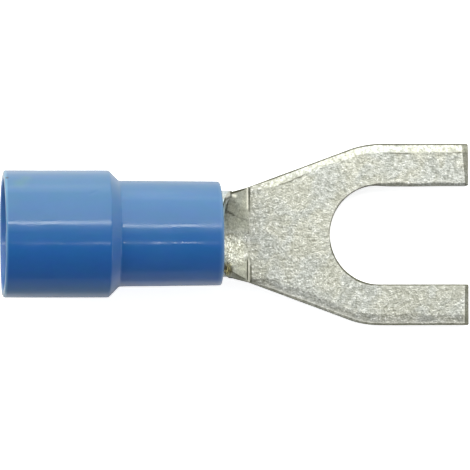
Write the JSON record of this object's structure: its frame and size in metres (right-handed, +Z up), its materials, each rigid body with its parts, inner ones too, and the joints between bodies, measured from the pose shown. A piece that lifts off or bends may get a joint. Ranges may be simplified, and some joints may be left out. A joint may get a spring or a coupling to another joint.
{
  "type": "fork crimp terminal",
  "caption": "Pre-insulated fork crimp terminal: a forked tongue for a stud, a rolled barrel for a wire and a stepped insulating sleeve over it.",
  "frame": {"origin": "centre of the round end of the stud slot, on the underside of the tongue", "axes": "+X along the terminal towards the tips of the fork, +Y across the tines, +Z up out of the top face of the tongue, to the side of the barrel's seam"},
  "size_m": [0.0206, 0.008, 0.0055],
  "materials": {
    "tinned_copper": "matt tin plate on copper",
    "blue_pvc": "satin blue PVC"
  },
  "bodies": {
    "root": {"fork_terminal": "tinned_copper", "insulating_sleeve": "blue_pvc"}
  },
  "joints": []
}
